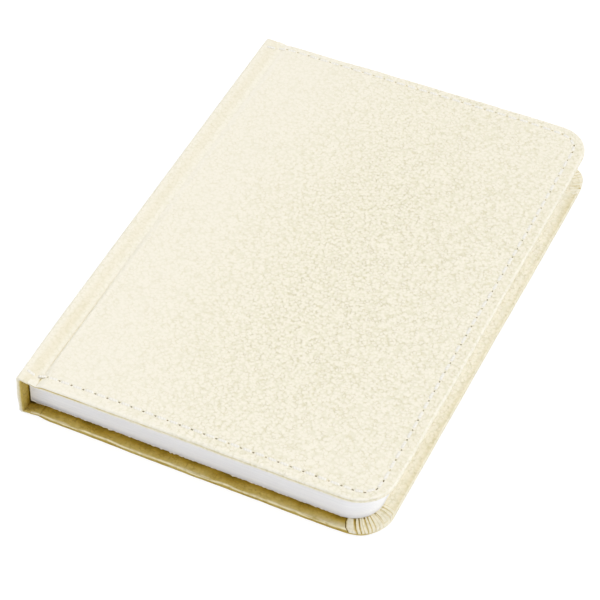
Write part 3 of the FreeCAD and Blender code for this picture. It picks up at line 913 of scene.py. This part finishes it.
# ---- Endpapers
# Ivory sheets: one half pasted inside each cover and running on across the joint, the other half a free
# leaf that turns in the gutter. Their trimmed edges show as a thin bright line along the block.

PAGE_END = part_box("back_pastedown")[1].x / MM
PAGE_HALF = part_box("back_pastedown")[1].y / MM
PAGE_CORNER = 8.5
FOLD_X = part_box("spine_mull")[1].x / MM
BLOCK_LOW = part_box("back_flyleaf")[0].z / MM
BLOCK_HIGH = COVER_TOP - BLOCK_LOW
gutter = hinges["front_flyleaf_turn"] / MM


def leaf_blank(name, start_x, outset=0.0):
    """A flat blank one unit thick, square at the spine and rounded at the fore edge, left in edit mode."""
    blank = block(name, (start_x, -PAGE_HALF - outset, 0), (PAGE_END, PAGE_HALF + outset, 1))
    round_off(PAGE_CORNER, 12, lambda a, b: min(a.x, b.x) > PAGE_END - 0.01 and abs(a.y - b.y) < 0.01)
    return blank


def inner_face(x):
    """Height of the back cover's inner face above the table, at x."""
    return joint_dip(x) + 2 * LEATHER if x < crease.x else COVER


def leaf_height(level, x):
    """Height at x of the leaf that lies at level in the gutter: the block swells towards the fore edge."""
    share = (level - BLOCK_LOW) / (BLOCK_HIGH - BLOCK_LOW)
    return level + max(0.0, x - gutter.x) * math.tan(WEDGE * share)


def paper_material(name, front, dark, light, low_shade):
    """Uncoated book paper: matt and slightly fibrous, with the edges of its leaves as fine lines. Leaves of
    0.1 mm are too thin to show, so the lines are drawn about 0.3 mm apart. By low_shade, the lowest leaves
    are
    painted darker, most near the spine: painted shade."""
    material = new_material(name)
    at = add_node(material, "Attribute", {}, attribute_name="rest_place").outputs["Vector"]
    fibre = add_node(material, "TexNoise", {"Vector": at, "Scale": 1 / 0.0016, "Detail": 4})
    stretch = add_node(material, "VectorMath", {0: at, 1: (60, 60, 3600)}, operation="MULTIPLY")
    leaf = add_node(material, "TexNoise", {"Vector": stretch, "Scale": 1.0, "Detail": 3})
    cloud = add_node(material, "Mix", {"Factor": fibre, "A": front, "B": light}, data_type="RGBA")
    line = add_node(material, "MapRange", {
        "Value": leaf, "From Min": 0.40, "From Max": 0.62, "To Min": 0.1, "To Max": 0.0})
    level = add_node(material, "SeparateXYZ", {0: at})
    # Painted shade on the lowest leaves, stronger near the spine.
    low = add_node(material, "MapRange", {
        "Value": level.outputs["Z"], "From Min": 0.0020, "From Max": 0.0036,
        "To Min": low_shade, "To Max": 0.0})
    dim = add_node(material, "MapRange", {
        "Value": level.outputs["X"], "From Min": -0.044, "From Max": -0.030, "To Min": 1.8, "To Max": 1.0})
    low = add_node(material, "Math", {0: low, 1: dim}, operation="MULTIPLY")
    line = add_node(material, "Math", {0: line, 1: low}, operation="MAXIMUM")
    shaded = add_node(material, "Mix", {"Factor": line, "A": cloud, "B": dark}, data_type="RGBA")
    rough = add_node(material, "Bump", {"Height": leaf, "Strength": 0.2, "Distance": 0.00010})
    paper = add_node(material, "BsdfPrincipled", {
        "Base Color": shaded, "Roughness": 0.85, "Specular IOR Level": 0.15, "Normal": rough})
    add_node(material, "OutputMaterial", {"Surface": paper})
    return material


# Ivory endpaper, slightly deeper between its fibres; the block's paper below is whiter and cooler.
endpaper = paper_material("ivory_endpaper", "F6EFD9", "CDBE8F", "FBF6E8", 0.0)
SHEET_JOIN = SPINE_X + 4.0
EDGE_STEPS = evenly(-PAGE_HALF, PAGE_HALF, 60)
PAPER_CUTS = [SPINE_X + x for x in (3.0, 3.8, 4.6, 5.4, 6.2, 6.8, 7.2, 7.6, 8.0, 8.4, 9.0, 12, 30, 55, 80)]


def wavy(place, ragged=0.16, flare=0.0):
    """A sheet's trimmed edge, which wanders slightly and stands out by flare near the joint."""
    if PAGE_HALF - abs(place.y) < 0.6 and place.x < PAGE_END - PAGE_CORNER:
        place.y += math.copysign(ragged * noise.noise((place.x / 0.9, place.y, 5))
                                 + flare * smooth(18, 9, place.x - SPINE_X), place.y)
    return place


def pasted(place):
    """Lays a blank on the back cover's inner face, from the block's fold out to the fore edge."""
    join_x = SPINE_X + 4.2
    low = inner_face(place.x) + 0.01
    if place.x < join_x:
        share = (join_x - place.x) / (join_x - FOLD_X)
        low += (BLOCK_LOW - PAPER - low) * smooth(0, 1, share)
    return wavy(Vector((place.x, place.y, low + PAPER * place.z)), flare=0.38)


lining = block("spine_lining_strip", (SPINE_X + 1.82, -PAGE_HALF - 0.2, BLOCK_LOW),
               (SPINE_X + 1.99, PAGE_HALF + 0.2, BLOCK_HIGH))
cut(2, evenly(BLOCK_LOW, BLOCK_HIGH, 14))
cut(1, [side * (PAGE_HALF - inset) for inset in (0.5, 2, 3, 4.4, 8, 30) for side in (-1, 1)])
reshape(lining, lambda place: place + Vector((
    0.06 * noise.noise((3, place.y / 20, place.z / 1.4)) + 0.24 * smooth(68, 70.5, abs(place.y)),
    math.copysign(0.25 * noise.noise((8, 0, place.z / 1.7)), place.y), 0)))
finish(lining, endpaper)
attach(lining, "book_block")
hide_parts("spine_lining")

back_sheet = leaf_blank("back_pastedown_paper", FOLD_X - 0.2, -0.15)
cut(0, PAPER_CUTS)
cut(1, EDGE_STEPS)
reshape(back_sheet, pasted)
finish(back_sheet, endpaper)
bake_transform(back_sheet)
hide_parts("back_pastedown")

front_sheet = leaf_blank("front_pastedown_paper", SHEET_JOIN)
cut(0, [x for x in PAPER_CUTS if x > SHEET_JOIN])
cut(1, EDGE_STEPS)
reshape(front_sheet, lambda place: lift(drop(pasted(place))))
face_out(front_sheet)
finish(front_sheet, endpaper)
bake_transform(front_sheet)
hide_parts("front_pastedown")

hinge_sheet = block("front_joint_paper", (FOLD_X - 0.2, -PAGE_HALF, 0), (SHEET_JOIN, PAGE_HALF, 1))
cut(0, [SPINE_X + x for x in (2.3, 2.6, 2.9, 3.2, 3.5, 3.8)])
cut(1, EDGE_STEPS)
reshape(hinge_sheet, lambda place: drop(pasted(place)))
face_out(hinge_sheet)
finish(hinge_sheet, endpaper)
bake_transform(hinge_sheet)
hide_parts("front_endpaper_fold")

TURN_CUTS = [SPINE_X + x for x in (4.5, 6.8, 7.2, 7.6, 8.0, 8.4, 8.8, 9.2, 30, 55, 80)]
for name, low, outset, ragged, body, nodes in (
        ("front_free_leaf", BLOCK_HIGH - PAPER, 0.0, 0.16, "front_flyleaf",
         ("front_flyleaf", "front_endpaper_fold")),
        ("back_free_leaf", BLOCK_LOW, 0.2, 0.5, "back_flyleaf", ("back_flyleaf", "back_endpaper_fold"))):
    leaf = leaf_blank(name, FOLD_X, outset)
    cut(0, TURN_CUTS + evenly(SPINE_X + 10, PAGE_END - PAGE_CORNER, 150))
    cut(1, evenly(-PAGE_HALF, PAGE_HALF, 24))
    reshape(leaf, lambda place: wavy(Vector((
        place.x, place.y, leaf_height(low + place.z * PAPER, place.x))), ragged))
    finish(leaf, endpaper)
    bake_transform(leaf)
    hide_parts(*nodes)

# ---- Text block
# Twelve sewn sections of thin white book paper, trimmed together and rounded at the fore-edge corners.
# The first four turn in the gutter. Each section's folds leave it slightly fuller in its middle.

page_paper = paper_material("white_book_paper", "F9F9F9", "C4C6CC", "FEFEFD", 0.5)
SECTIONS = 12
SECTION = (BLOCK_HIGH - BLOCK_LOW - 2 * PAPER) / SECTIONS
section_blank = leaf_blank("section_blank", FOLD_X, 0.3)
cut(0, TURN_CUTS + [SPINE_X + 3.0])
cut(1, evenly(-PAGE_HALF, PAGE_HALF, 8))
cut(2, [0.12, 0.35, 0.65, 0.88])
deselect()


def trim(place, level, seed):
    """Draws each leaf's edge in or out a little, most where two sections meet and at the spine folds."""
    share = place.z
    seam = 0.05 * (1 - smooth(0, 0.12, share) * (1 - smooth(0.88, 1, share)))
    uneven = 0.05 * noise.noise((place.x / 30, place.y / 30, level * 3.1))
    depth = seam + uneven
    if PAGE_HALF - abs(place.y) < 0.1:
        depth += 0.2 * smooth(1.6, 0.0, place.x - FOLD_X)
    if PAGE_HALF - abs(place.y) < PAGE_CORNER and PAGE_END - place.x < PAGE_CORNER:
        middle = Vector((PAGE_END - PAGE_CORNER, math.copysign(PAGE_HALF - PAGE_CORNER, place.y)))
        arm = place.xy - middle
        moved = middle + arm * (1 - depth / PAGE_CORNER)
        return Vector((moved.x, moved.y, leaf_height(level, moved.x)))
    moved = place.copy()
    if PAGE_HALF - abs(place.y) < 0.1:
        moved.y -= math.copysign(depth, place.y)
    if PAGE_END - place.x < 0.1:
        moved.x -= depth
    return Vector((moved.x, moved.y, leaf_height(level, place.x)))


for number in range(1, SECTIONS + 1):
    high = BLOCK_HIGH - PAPER - (number - 1) * SECTION
    name = "section_%02d" % number
    section = twin(section_blank, name + "_leaves")
    store(section, "rest_place", "FLOAT_VECTOR",
          lambda place: Vector((place.x, place.y, high - (1 - place.z) * SECTION)) * MM)
    reshape(section, lambda place: trim(place, high - (1 - place.z) * SECTION, number))
    finish(section, page_paper)
    if number <= 4:
        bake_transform(section)
        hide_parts(name, "gutter_folds")
    else:
        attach(section, "book_block")
        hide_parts(name)
bpy.data.objects.remove(section_blank)

# ---- Boards, linings and sewing
# Inside the case: grey board in covers and spine, thin card under the pastedowns, open cotton mull glued
# over the spine folds with a paper lining on it, and linen thread through the sections.


def stiff_board(name, dark, light, fleck):
    """Pulp board pressed from waste paper: matt, flecked and slightly rough."""
    material = new_material(name)
    at = add_node(material, "TexCoord", {}).outputs["Object"]
    pulp = add_node(material, "TexNoise", {"Vector": at, "Scale": fleck, "Detail": 6})
    tone = add_node(material, "Mix", {"Factor": pulp, "A": dark, "B": light}, data_type="RGBA")
    tooth = add_node(material, "Bump", {"Height": pulp, "Strength": 0.4, "Distance": 0.0001})
    board = add_node(material, "BsdfPrincipled", {
        "Base Color": tone, "Roughness": 0.9, "Specular IOR Level": 0.1, "Normal": tooth})
    add_node(material, "OutputMaterial", {"Surface": board})
    return material


def woven(name, pitch_mm, warp_colour, gap_colour):
    """Open plain weave: threads both ways, with the glue showing in the gaps."""
    material = new_material(name)
    at = add_node(material, "TexCoord", {}).outputs["Object"]
    count = 2 * math.pi / (pitch_mm * MM)
    swing = add_node(material, "VectorMath", {0: at, "Scale": count}, operation="SCALE")
    swing = add_node(material, "VectorMath", {0: swing}, operation="SINE")
    axes = add_node(material, "SeparateXYZ", {0: swing})
    lifted = add_node(material, "Math", {0: axes.outputs["X"], 1: axes.outputs["Y"]}, operation="MAXIMUM")
    lifted = add_node(material, "Math", {0: lifted, 1: axes.outputs["Z"]}, operation="MAXIMUM")
    tone = add_node(material, "Mix", {
        "Factor": lifted, "A": gap_colour, "B": warp_colour}, data_type="RGBA")
    relief = add_node(material, "Bump", {"Height": lifted, "Strength": 0.5, "Distance": 0.0001})
    cloth = add_node(material, "BsdfPrincipled", {
        "Base Color": tone, "Roughness": 0.85, "Sheen Weight": 0.2, "Normal": relief})
    add_node(material, "OutputMaterial", {"Surface": cloth})
    return material


greyboard = stiff_board("grey_board", "8E8A80", "A9A59A", 1 / 0.0009)
thin_card = stiff_board("manila_card", "D8CDAE", "E6DDC2", 1 / 0.0006)
mull = woven("cotton_mull", 0.9, "EFEAD9", "C9BC93")
linen = woven("linen_sewing_thread", 0.35, "F1ECDC", "CFC5A8")
for node, material in (("back_board", greyboard), ("front_board", greyboard), ("spine_board", greyboard),
                       ("back_infill_card", thin_card), ("front_infill_card", thin_card),
                       ("back_mull_flange", mull), ("front_mull_flange", mull), ("front_joint_lining", mull),
                       ("spine_mull", mull), ("sewing_thread", linen)):
    solid = bpy.data.objects[node]
    if not solid.material_slots:
        solid.data.materials.append(material)
    for place in solid.material_slots:
        place.material = material

# ---- Size
# The box of the CAD model and the box of the finished model, in metres.

low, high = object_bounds()
